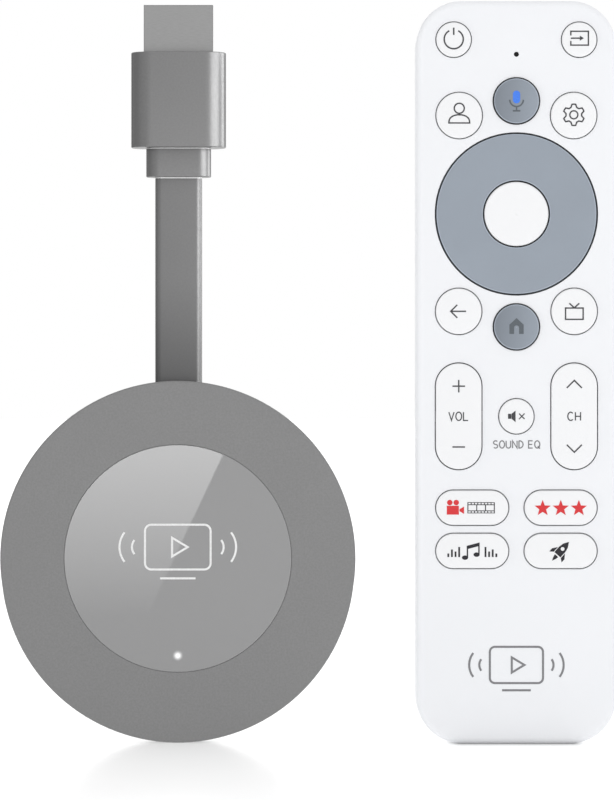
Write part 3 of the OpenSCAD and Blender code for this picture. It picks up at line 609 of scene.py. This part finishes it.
SLATE = (0.272, 0.307, 0.355)
MATERIALS = {
    # the case's edges are darker: a painted shade along them
    "case_grey": moulded("case_grain", (0.229, 0.229, 0.23), 0.42, grain=0.016, mottle=0.02,
                         edge_wear_and_shade=0.55, edge_wear_and_shade_tone=0.6, grain_size=0.38, speckle=0.1, edge=0.4),
    "lead_grey": soft("lead_elastomer", (0.16, 0.16, 0.161), 0.36),
    "steel": metal("sheet_steel", (0.52, 0.52, 0.53), 0.3),
    # the plated steel's edges are darker: a painted shade along them
    "bright_steel": metal("plated_steel", (0.3, 0.3, 0.3), 0.42, (1, 1, 8), edge_wear_and_shade=0.9, edge_wear_and_shade_tone=0.4, edge=0.6),
    "gold": metal("gold_plate", (0.83, 0.62, 0.27), 0.22),
    "black_plastic": moulded("black_moulding", (0.025, 0.025, 0.027), 0.5),
    "board": board_material(),
    "window_grey": window_material(),
    "tape": soft("soft_black", (0.045, 0.045, 0.047), 0.6),
    "clear": clear_material(),
    "light": ink_material("diode_white", (0.9, 0.92, 1.0)),
    "pad": soft("gap_pad", (0.3, 0.37, 0.46), 0.6),
    "alloy": metal("rolled_alloy", (0.6, 0.6, 0.61), 0.35, (30, 1, 1)),
    "remote_white": moulded("remote_shell", (0.787, 0.797, 0.82), 0.4, grain=0.006, mottle=0.006, edge_wear_and_shade=0.02),
    "key_white": moulded("key_cap", (0.798, 0.803, 0.815), 0.36, grain=0.004, mottle=0.005, edge_wear_and_shade=0.02),
    "key_slate": painted_key("key_slate", SLATE, 0.34),
    "mic_black": soft("microphone_boot", (0.006, 0.006, 0.006), 0.8),
    "key_slate_shaded": painted_key("key_slate_shaded", SLATE, 0.34, 4.6 * MM),
    "mat": soft("keypad_silicone", (0.5, 0.51, 0.52), 0.55),
    "cell": cell_material(),
    "ir_black": moulded("ir_window", (0.012, 0.008, 0.012), 0.08, grain=0.001, specular=0.5),
}
SLEEVE = satin("sleeve_satin", (0.194, 0.194, 0.195), 0.34, 0.55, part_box("plug_housing")[0].z)
LEAD_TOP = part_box("plug_collar")[0].z
LEAD_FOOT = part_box("puck_front_shell")[1].z
# the lead gets a painted shade, darker towards the player
LEAD_SKIN = satin("lead_satin", (0.178, 0.178, 0.179), 0.34, 0.5, LEAD_TOP, LEAD_FOOT)
INK = {
    "grey": ink_material("ink_grey", (0.05, 0.05, 0.055)),
    "pale": ink_material("ink_pale", (0.2, 0.2, 0.21)),
    "dark": ink_material("ink_dark", (0.018, 0.017, 0.022)),
    "slate": ink_material("ink_slate", (0.1, 0.115, 0.13)),
    "white": ink_material("ink_white", (0.8, 0.8, 0.8)),
    "red": ink_material("ink_red", (0.62, 0.035, 0.04)),
    "blue": ink_material("ink_blue", (0.06, 0.2, 0.75)),
}


OWN_LOOK = {"microphone": "mic_black", "assistant_key": "key_slate_shaded", "home_key": "key_slate_shaded"}


def paint_frame():
    """Every CAD node takes the material of its slot in the record, or its own variant."""
    slots = {part["node"]: part["material_slot"] for part in frame["record"]["subparts"]}
    for name, node in NODES.items():
        node.data.materials.clear()
        node.data.materials.append(MATERIALS[OWN_LOOK.get(name, slots[name])])


# ------------------------------------------------------------------ printed marks

INK_LIFT = 0.012 * MM
INK_DEPTH = 0.02 * MM
_surface = {}


def surface(node):
    """A node's faces, ready for rays."""
    if node not in _surface:
        mesh = NODES[node].data
        faces = [tuple(p.vertices) for p in mesh.polygons]
        _surface[node] = BVHTree.FromPolygons([v.co.copy() for v in mesh.vertices], faces)
    return _surface[node]


def front_of(node, x, z):
    """How far forward a node's surface stands at a place, as a Y in metres."""
    hit = surface(node).ray_cast(Vector((x, LOW.y - 0.05, z)), Vector((0, 1, 0)))
    if hit[0] is None:
        raise ValueError(f"{node} has no surface at {x}, {z}")
    return hit[0].y


def arc(cx, cy, r, start, end, steps=24):
    """Points along an arc, with its angles in degrees."""
    angles = [math.radians(start + (end - start) * i / steps) for i in range(steps + 1)]
    return [(cx + r * math.cos(a), cy + r * math.sin(a)) for a in angles]


def ring(cx, cy, r, steps=40):
    """Points round a whole circle."""
    return arc(cx, cy, r, 0, 360, steps)[:-1]


def stroke(points, width, closed=False):
    """The two sides of a line of even width with mitred corners, as (left, right) pairs."""
    count = len(points)
    pairs = []
    for i, point in enumerate(points):
        here = Vector(point)
        before = Vector(points[i - 1]) if closed or i > 0 else None
        after = Vector(points[(i + 1) % count]) if closed or i < count - 1 else None
        one = (here - before).normalized() if before is not None else None
        two = (after - here).normalized() if after is not None else None
        one, two = one or two, two or one
        normal = Vector((-(one + two).y, (one + two).x)).normalized()
        reach = width / 2 / max(0.35, normal.dot(Vector((-one.y, one.x))))
        pairs.append((here + normal * reach, here - normal * reach))
    return pairs


class Mark:
    """A printed mark made of strokes and filled outlines, in millimetres from its centre."""

    def __init__(self):
        self.flats = []

    def line(self, points, width=0.26, closed=False):
        pairs = stroke(points, width, closed)
        last = len(pairs) if closed else len(pairs) - 1
        for i in range(last):
            a, b = pairs[i], pairs[(i + 1) % len(pairs)]
            self.flats.append([a[0], a[1], b[1], b[0]])
        return self

    def fill(self, outline):
        self.flats.append([Vector(p) for p in outline])
        return self

    def shifted(self, dx, dy, scale=1.0):
        moved = Mark()
        moved.flats = [[Vector((p.x * scale + dx, p.y * scale + dy)) for p in f] for f in self.flats]
        return moved


def print_mark(name, mark, centre, node, body, ink):
    """Lays a mark on a node's front as a thin raised layer of ink, and lets it ride."""
    build = bmesh.new()
    for flat in mark.flats:
        front, back = [], []
        for p in flat:
            x, z = centre[0] + p.x * MM, centre[1] + p.y * MM
            y = front_of(node, x, z)
            front.append(build.verts.new((x, y - INK_LIFT - INK_DEPTH, z)))
            back.append(build.verts.new((x, y - INK_LIFT, z)))
        build.faces.new(front)
        build.faces.new(back[::-1])
        for i in range(len(flat)):
            j = (i + 1) % len(flat)
            build.faces.new((front[i], back[i], back[j], front[j]))
    bmesh.ops.recalc_face_normals(build, faces=build.faces)
    bmesh.ops.triangulate(build, faces=[f for f in build.faces if len(f.verts) > 4])
    mesh = bpy.data.meshes.new(name)
    build.to_mesh(mesh)
    build.free()
    mesh.materials.append(INK[ink])
    piece = bpy.data.objects.new(name, mesh)
    bpy.context.scene.collection.objects.link(piece)
    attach(piece, body)
    return piece


THIN = 0.28
LETTER_W = 0.23


def letters(text, height, gap=0.36):
    """A word in plain single-stroke capitals, centred."""
    h = height / 2
    w = 0.62 * height
    v = w / 2
    shapes = {
        "V": [[(-v, h), (0, -h), (v, h)]],
        "L": [[(-v, h), (-v, -h), (v * 0.8, -h)]],
        "H": [[(-v, h), (-v, -h)], [(v, h), (v, -h)], [(-v, 0), (v, 0)]],
        "N": [[(-v, -h), (-v, h), (v, -h), (v, h)]],
        "U": [[(-v, h)] + arc(0, -h + v, v, 180, 360, 12) + [(v, h)]],
        "E": [[(v * 0.8, h), (-v, h), (-v, -h), (v * 0.8, -h)], [(-v, 0), (v * 0.6, 0)]],
        "D": [[(-v, h), (-v, -h)] + arc(-v + 0.1 * w, 0, h, -90, 90, 14) + [(-v, h)]],
    }
    oval = [(x * 1.12 * v / h, y) for x, y in ring(0, 0, h, 28)]
    shapes["O"] = [oval + [oval[0]]]
    shapes["Q"] = [oval + [oval[0]], [(0.25 * v, -0.45 * h), (1.15 * v, -1.15 * h)]]
    shapes["C"] = [[(x * 1.12 * v / h, y) for x, y in arc(0, 0, h, 45, 315, 24)]]
    s_top = [(x * 0.9 * v / (h / 2), y) for x, y in arc(0, h / 2, h / 2, 35, 270, 16)]
    s_low = [(x * 0.9 * v / (h / 2), y) for x, y in arc(0, -h / 2, h / 2, 90, -145, 16)]
    shapes["S"] = [s_top + s_low[1:]]
    step = w + gap * height
    space = 0.5 * step
    mark = Mark()
    x = -(step * (len(text) - 1) - (step - space) * text.count(" ")) / 2
    for letter in text:
        for line in shapes.get(letter, []):
            mark.line([(px + x, py) for px, py in line], LETTER_W)
        x += space if letter == " " else step
    return mark


def power_mark():
    return Mark().line(arc(0, 0.05, 1.9, 118, 422, 40), 0.3).line([(0, 2.35), (0, 0.9)], 0.3)


def input_mark():
    w, h = 1.75, 1.38
    frame_line = [(-w, 0.55), (-w, h), (w, h), (w, -h), (-w, -h), (-w, -0.55)]
    mark = Mark().line(frame_line, 0.28).line([(-w, 0), (0.3, 0)], 0.28)
    return mark.fill([(0.05, 0.5), (0.85, 0), (0.05, -0.5)])


def person_mark():
    mark = Mark().line(ring(0, 1.3, 1.0, 36), THIN, closed=True)
    shoulders = [(2.06 * x, 1.64 * max(y, 0) ** 0.75 - 1.62) for x, y in arc(0, 0, 1, 0, 180, 28)]
    return mark.line(shoulders, THIN, closed=True)


def gear_mark():
    teeth, inner, outer = 6, 1.56, 2.12
    outline = []
    for i in range(teeth):
        middle_angle = 90 + 360 / teeth * i
        outline += arc(0, 0, outer, middle_angle - 10, middle_angle + 10, 3)
        outline += arc(0, 0, inner, middle_angle + 22, middle_angle + 38, 4)
    return Mark().line(outline, THIN, closed=True).line(ring(0, 0, 0.8, 30), THIN, closed=True)


def back_mark():
    return Mark().line([(-1.55, 0), (1.45, 0)], THIN).line([(-0.3, 1.3), (-1.6, 0), (-0.3, -1.3)], THIN)


def television_mark():
    mark = Mark().line([(-1.75, 0.65), (1.75, 0.65), (1.75, -1.6), (-1.75, -1.6)], THIN, closed=True)
    return mark.line([(-1.0, 1.6), (0, 0.7), (1.0, 1.6)], THIN)


def house_mark():
    door = arc(0, -0.3, 0.5, 90, 180, 8)
    left = [(-1.42, -1.5), (-1.42, 0.35), (0, 1.65), (0, 0.25)] + door + [(-0.5, -1.5)]
    right = [(-x, y) for x, y in reversed(left)]
    return Mark().fill(left).fill(right)


def microphone_mark():
    capsule = arc(0, 1.2, 0.72, 0, 180, 16) + arc(0, 0.1, 0.72, 180, 360, 16)
    return Mark().fill(capsule)


def microphone_stand_mark():
    cradle = arc(0, 0.1, 1.35, 180, 360, 24)
    mark = Mark().line(cradle, 0.3).line([(0, -1.25), (0, -2.1)], 0.3)
    return mark.line([(-0.75, -2.1), (0.75, -2.1)], 0.3)


def mute_mark():
    mark = Mark().fill([(-1.8, 0.5), (-1.15, 0.5), (-1.15, -0.5), (-1.8, -0.5)])
    mark.fill([(-1.1, 0.5), (-0.3, 1.15), (-0.3, -1.15), (-1.1, -0.5)])
    for sign in (-1, 1):
        mark.line([(0.4, -0.55 * sign), (1.5, 0.55 * sign)], 0.22)
    return mark


def plus_minus_mark():
    mark = Mark().line([(-1.25, 6.0), (1.25, 6.0)], THIN).line([(0, 4.75), (0, 7.25)], THIN)
    return mark.line([(-1.25, -6.1), (1.25, -6.1)], THIN)


def chevrons_mark():
    mark = Mark()
    for sign in (-1, 1):
        mark.line([(-1.5, 5.65 * sign), (0, 7.15 * sign), (1.5, 5.65 * sign)], THIN)
    return mark


def camera_mark():
    """A film camera: body, lens hood and two reels."""
    mark = Mark().fill([(-2.1, 0.5), (0.9, 0.5), (0.9, -1.7), (-2.1, -1.7)])
    mark.fill([(1.05, -0.35), (2.2, 0.3), (2.2, -1.5), (1.05, -0.85)])
    return mark.fill(ring(-1.35, 1.3, 0.68, 24)).fill(ring(0.25, 1.3, 0.68, 24))


def film_mark():
    """A strip of film: two edges, three frames and a row of holes above and below."""
    mark = Mark()
    for side in (-1, 1):
        mark.fill([(-3.2, 0.62 * side), (3.2, 0.62 * side), (3.2, 0.8 * side), (-3.2, 0.8 * side)][::side])
        mark.fill([(-3.2, 1.15 * side), (3.2, 1.15 * side), (3.2, 1.3 * side), (-3.2, 1.3 * side)][::side])
        for i in range(9):
            x = -3.2 + 0.775 * i
            post = [(x, 0.8), (x + 0.2, 0.8), (x + 0.2, 1.15), (x, 1.15)]
            mark.fill([(px, py * side) for px, py in post][::side])
    for i in range(4):
        mark.line([(-3.09 + 2.06 * i, -0.65), (-3.09 + 2.06 * i, 0.65)], 0.22)
    return mark


def bars_mark(heights):
    """Bars of a sound meter."""
    mark = Mark()
    for i, height in enumerate(heights):
        x = 0.72 * (i - (len(heights) - 1) / 2)
        mark.line([(x, -1.2), (x, height - 1.2)], 0.36)
    return mark


def star_mark():
    points = []
    for i in range(5):
        points += arc(0, 0, 2.25, 90 + 72 * i, 90 + 72 * i, 1)[:1]
        points += arc(0, 0, 0.95, 126 + 72 * i, 126 + 72 * i, 1)[:1]
    mark = Mark()
    for i in range(0, 10, 2):
        mark.fill([(0, 0), points[i - 1], points[i], points[i + 1]])
    return mark


def note_mark():
    mark = Mark().fill([(-1.3, 1.2), (1.7, 2.0), (1.7, 1.2), (-1.3, 0.4)])
    mark.line([(-1.15, 1.0), (-1.15, -1.5)], 0.32).line([(1.55, 1.7), (1.55, -0.8)], 0.32)
    for x, y in ((-1.7, -1.55), (1.0, -0.85)):
        turns = [math.radians(15 * i) for i in range(24)]
        mark.fill([(x + 0.72 * math.cos(a), y + 0.52 * math.sin(a)) for a in turns])
    return mark


def rocket_mark():
    """A rocket flying up to the right."""
    def turn(points):
        c = math.cos(math.radians(-42))
        s = math.sin(math.radians(-42))
        return [(x * c - y * s, x * s + y * c) for x, y in points]
    hull = [(-0.8, -1.0), (-0.82, 0.4), (-0.62, 1.4), (0, 2.45), (0, 0.95)]
    left = hull + arc(0, 0.55, 0.38, 90, 270, 10) + [(0, -1.0)]
    right = [(-x, y) for x, y in reversed(left)]
    mark = Mark().fill(turn(left)).fill(turn(right))
    for sign in (-1, 1):
        fin = [(0.95, 0.2), (1.65, -0.75), (1.65, -1.6), (0.95, -1.05)]
        mark.fill(turn([(x * sign, y) for x, y in fin][::sign]))
    return mark.fill(turn([(-0.45, -1.25), (0.45, -1.25), (0.3, -1.9), (0, -2.6), (-0.3, -1.9)]))


def screen_mark(line):
    """A plain mark for both things: a screen with a play sign, between two pairs of waves."""
    w, h, r = 6.3, 4.3, 1.2
    outline = arc(w - r, h - r + 0.7, r, 0, 90, 6) + arc(r - w, h - r + 0.7, r, 90, 180, 6)
    outline += arc(r - w, r - h + 0.7, r, 180, 270, 6) + arc(w - r, r - h + 0.7, r, 270, 360, 6)
    mark = Mark().line(outline, line, closed=True)
    mark.line([(-1.1, 2.5), (1.9, 0.7), (-1.1, -1.1)], line, closed=True)
    mark.line([(-3.4, -5.3), (3.4, -5.3)], line)
    for sign in (-1, 1):
        for r in (2.2, 4.6):
            wave = arc(sign * 6.6, 0.7, r, -38, 38, 12)
            mark.line([(x if sign > 0 else 2 * sign * 6.6 - x, y) for x, y in wave], line)
    return mark


def print_keys():
    """The marks on the remote: a key's marks ride on its key, the label and emblem on the remote."""
    marks = [
        ("power_key", power_mark(), "grey", (0, 0)),
        ("input_key", input_mark(), "grey", (0.05, 0.25)),
        ("profile_key", person_mark(), "grey", (0, 0.1)),
        ("settings_key", gear_mark(), "grey", (0, 0.1)),
        ("back_key", back_mark(), "grey", (0, 0)),
        ("guide_key", television_mark(), "grey", (0, 0)),
        ("home_key", house_mark(), "slate", (0, 0.1)),
        ("assistant_key", microphone_mark(), "blue", (0, 0.1)),
        ("assistant_key", microphone_stand_mark(), "slate", (0, 0.1)),
        ("mute_key", mute_mark(), "grey", (0.1, 0)),
        ("volume_rocker", plus_minus_mark(), "grey", (0, 0)),
        ("volume_rocker", letters("VOL", 1.65, 0.26), "grey", (0, 0)),
        ("channel_rocker", chevrons_mark(), "grey", (0, 0)),
        ("channel_rocker", letters("CH", 1.65, 0.26), "grey", (0, 0)),
        ("shortcut_key_1", camera_mark().shifted(0, 0, 0.8), "red", (-3.4, 0)),
        ("shortcut_key_1", film_mark().shifted(0, 0, 0.85), "dark", (1.75, 0)),
        ("shortcut_key_2", star_mark().shifted(-3.6, 0, 0.75), "red", (0, -0.1)),
        ("shortcut_key_2", star_mark().shifted(0, 0, 0.75), "red", (0, -0.1)),
        ("shortcut_key_2", star_mark().shifted(3.6, 0, 0.75), "red", (0, -0.1)),
        ("shortcut_key_3", note_mark().shifted(0, 0, 0.85), "dark", (0, 0)),
        ("shortcut_key_3", bars_mark((0.7, 1.5, 1.1, 2.0)), "dark", (-3.7, 0)),
        ("shortcut_key_3", bars_mark((2.0, 1.1, 1.5, 0.7)), "dark", (3.7, 0)),
        ("shortcut_key_4", rocket_mark(), "dark", (0, 0)),
    ]
    for i, (key, mark, ink, shift) in enumerate(marks):
        centre = middle(key)
        place = (centre.x + shift[0] * MM, centre.z + shift[1] * MM)
        print_mark(f"mark_{i}_{key}", mark, place, key, key, ink)
    label_drop, emblem_rise, emblem_scale = 5.6 * MM, 15.1 * MM, 0.84
    mute = middle("mute_key")
    label = letters("SOUND EQ", 1.45, 0.26)
    place = (mute.x, mute.z - label_drop)
    print_mark("label_sound", label, place, "remote_top_shell", "remote", "pale")
    place = (REMOTE.x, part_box("remote_top_shell")[0].z + emblem_rise)
    emblem = screen_mark(0.5).shifted(0, 0, emblem_scale)
    print_mark("emblem_remote", emblem, place, "remote_top_shell", "remote", "pale")


def print_window():
    """The mark on the player's window."""
    emblem = screen_mark(0.4).shifted(0, 0, 1.04)
    place = (PLAYER.x, PLAYER.z + 1.55 * MM)
    print_mark("emblem_window", emblem, place, "front_window", "player", "white")


# ------------------------------------------------------------------ pieces

def make_status_glow():
    """The status light as it shows through the window: a bright core and a soft halo."""
    diode = middle("status_led")
    front = front_of("front_window", diode.x, diode.z) - INK_LIFT
    centre = Vector((diode.x, front, diode.z))
    rings, around = 8, 48
    vertices = [centre]
    for i in range(1, rings + 1):
        for j in range(around):
            a = 2 * math.pi * j / around
            r = STATUS_RADIUS * i / rings
            vertices.append(centre + Vector((r * math.cos(a), 0, r * math.sin(a))))
    faces = [(0, 1 + j, 1 + (j + 1) % around) for j in range(around)]
    for i in range(rings - 1):
        for j in range(around):
            a, b = 1 + i * around, 1 + (i + 1) * around
            k = (j + 1) % around
            faces.append((a + j, b + j, b + k, a + k))
    material = glow_material("status_glow", (1, 1, 1), STATUS_GLOW, STATUS_RADIUS, STATUS_CORE, centre)
    glow = link_mesh("status_glow", vertices, faces, material)
    glow.visible_shadow = False
    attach(glow, "player")


def rounded_section(half_w, half_d, radius, steps=10):
    """A rectangle with round corners, as points in X and Y."""
    points = []
    for sx, sy, start in ((1, 1, 0), (-1, 1, 90), (-1, -1, 180), (1, -1, 270)):
        corner = arc(sx * (half_w - radius), sy * (half_d - radius), radius, start, start + 90, steps)
        points += corner
    return points


def loft(name, sections, material):
    """Skins a row of sections (height, points) that all have the same number of points."""
    vertices = [(x, y, z) for z, points in sections for x, y in points]
    n = len(sections[0][1])
    faces = [tuple(range(n))]
    for i in range(len(sections) - 1):
        for j in range(n):
            k = (j + 1) % n
            faces.append((i * n + j, (i + 1) * n + j, (i + 1) * n + k, i * n + k))
    last = (len(sections) - 1) * n
    faces.append(tuple(last + j for j in reversed(range(n))))
    piece = link_mesh(name, vertices, faces, material)
    build = bmesh.new()
    build.from_mesh(piece.data)
    bmesh.ops.remove_doubles(build, verts=build.verts, dist=1e-7)
    bmesh.ops.recalc_face_normals(build, faces=build.faces)
    build.to_mesh(piece.data)
    build.free()
    piece.data.shade_smooth()
    return piece


def sharp_ends(piece):
    """Keeps a loft's two ends crisp while its sides stay smooth."""
    piece.data.set_sharp_from_angle(angle=SHARP_END)


def make_sleeve(name, node, corner, bevel):
    """A moulded sleeve with round corners and softly broken ends, in place of its CAD block."""
    low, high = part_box(node)
    half_w, half_d = (high.x - low.x) / 2, (high.y - low.y) / 2
    cx, cy = (high.x + low.x) / 2, (high.y + low.y) / 2
    steps = 5
    sections = []
    for end, sign in ((low.z, 1), (high.z, -1)):
        part = []
        for i in range(steps + 1):
            a = math.pi / 2 * i / steps
            inset = bevel * (1 - math.sin(a))
            z = end + sign * bevel * (1 - math.cos(a))
            points = rounded_section(half_w - inset, half_d - inset, corner - inset)
            part.append((z, [(cx + x, cy + y) for x, y in points]))
        sections += part if sign > 0 else part[::-1]
    piece = loft(name, sections, SLEEVE)
    sharp_ends(piece)
    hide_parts(node)
    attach(piece, "plug")


def make_lead():
    """The flat lead: a straight skin with many rings from the plug down to the player."""
    low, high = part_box("flat_lead")
    half_w, half_d = (high.x - low.x) / 2, (high.y - low.y) / 2
    rings, corner = 160, 1.3 * MM
    points = rounded_section(half_w, half_d, corner, 8)
    heights = [high.z + (low.z - high.z) * i / rings for i in range(rings + 1)]
    piece = loft("flat_lead_skin", [(z, points) for z in heights], LEAD_SKIN)
    sharp_ends(piece)
    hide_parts("flat_lead")
    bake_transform(piece)


make_camera()
make_world()
make_stage()
make_side_cards()
make_window_card()
strip, fill_left, fill_player, fill_right = make_lamps()
paint_frame()
make_sleeve("plug_sleeve", "plug_housing", 4.2 * MM, 0.2 * MM)
make_sleeve("collar_sleeve", "plug_collar", 2.7 * MM, 0.2 * MM)
make_lead()
make_status_glow()
print_window()
print_keys()
for node in NODES.values():
    if not node.hide_render:
        node.data.set_sharp_from_angle(angle=SHARP_FACE)

light_only(strip, ("plug",), [bpy.data.objects["flat_lead_skin"]])
light_only(fill_player, ("player",))
remote_bodies = [b for b in frame["record"]["behaviour"]["bodies"] if b not in ("plug", "player", "reset")]
for lamp in (fill_left, fill_right):
    light_only(lamp, remote_bodies, shadows=False)
